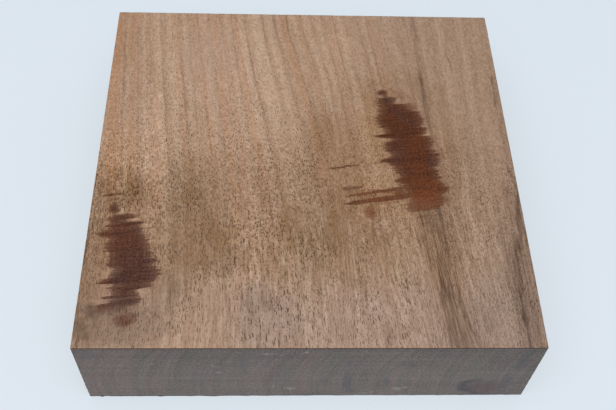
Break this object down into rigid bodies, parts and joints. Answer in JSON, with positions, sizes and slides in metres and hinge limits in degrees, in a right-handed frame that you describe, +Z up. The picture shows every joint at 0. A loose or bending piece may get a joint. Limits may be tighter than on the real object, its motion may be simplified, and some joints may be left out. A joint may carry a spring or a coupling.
{
  "type": "walnut turning blank",
  "caption": "Square block of solid walnut with planed broad faces and sawn ends and edges, for screwing to a lathe faceplate and turning into a bowl.",
  "frame": {"origin": "centre of the underside, on the surface that the blank stands on", "axes": "+Z up, out of the planed top face; +Y along the grain, towards the back end-grain face; +X across the grain, to the right as seen from the front end-grain face"},
  "size_m": [0.2, 0.2, 0.05],
  "materials": {
    "walnut": "bare planed wood, matt, with open pores"
  },
  "bodies": {
    "root": {"walnut_block": "walnut"}
  },
  "joints": []
}
